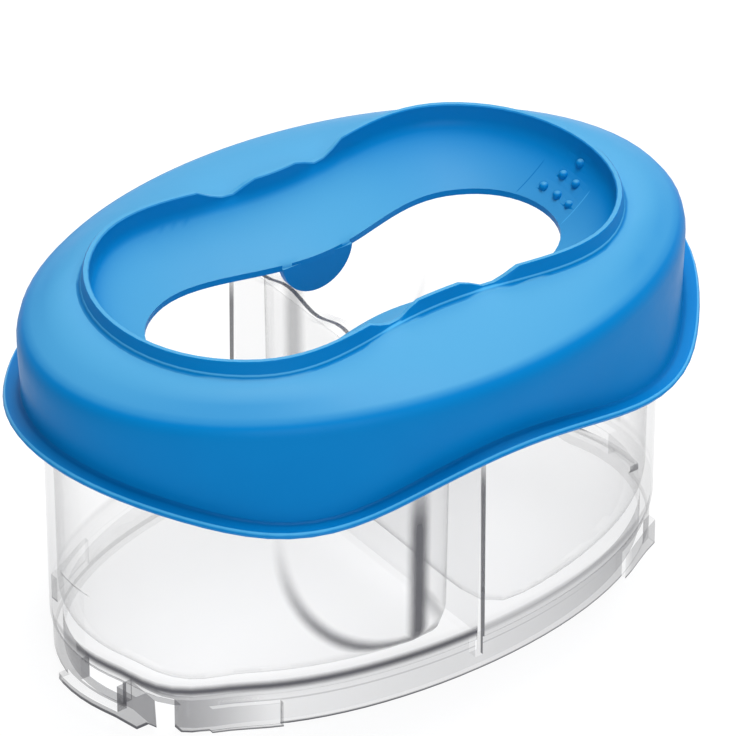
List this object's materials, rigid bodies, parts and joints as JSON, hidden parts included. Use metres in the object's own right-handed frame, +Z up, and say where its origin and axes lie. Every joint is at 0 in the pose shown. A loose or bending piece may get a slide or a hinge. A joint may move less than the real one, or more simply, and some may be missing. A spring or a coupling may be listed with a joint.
{
  "type": "brush washer",
  "caption": "Two-chamber brush washer: a clear divided container on a foot ring and a lift-off lid with brush rests, a funnel and a waisted opening.",
  "frame": {"origin": "the middle of the part's box on the plane of the table, under the foot ring", "axes": "+X along the long side, over both chambers; +Y across, to the back; +Z up"},
  "size_m": [0.135, 0.0946, 0.0737],
  "materials": {
    "clear": "clear, glossy, moulded",
    "blue": "satin gloss, moulded"
  },
  "bodies": {
    "container": {"container": "clear"},
    "lid": {"lid": "blue"}
  },
  "joints": [
    {"name": "lid_lift", "type": "slide", "parent": "container", "child": "lid", "axis": [0, 0, 1], "range_m": [0, 0.035]}
  ]
}
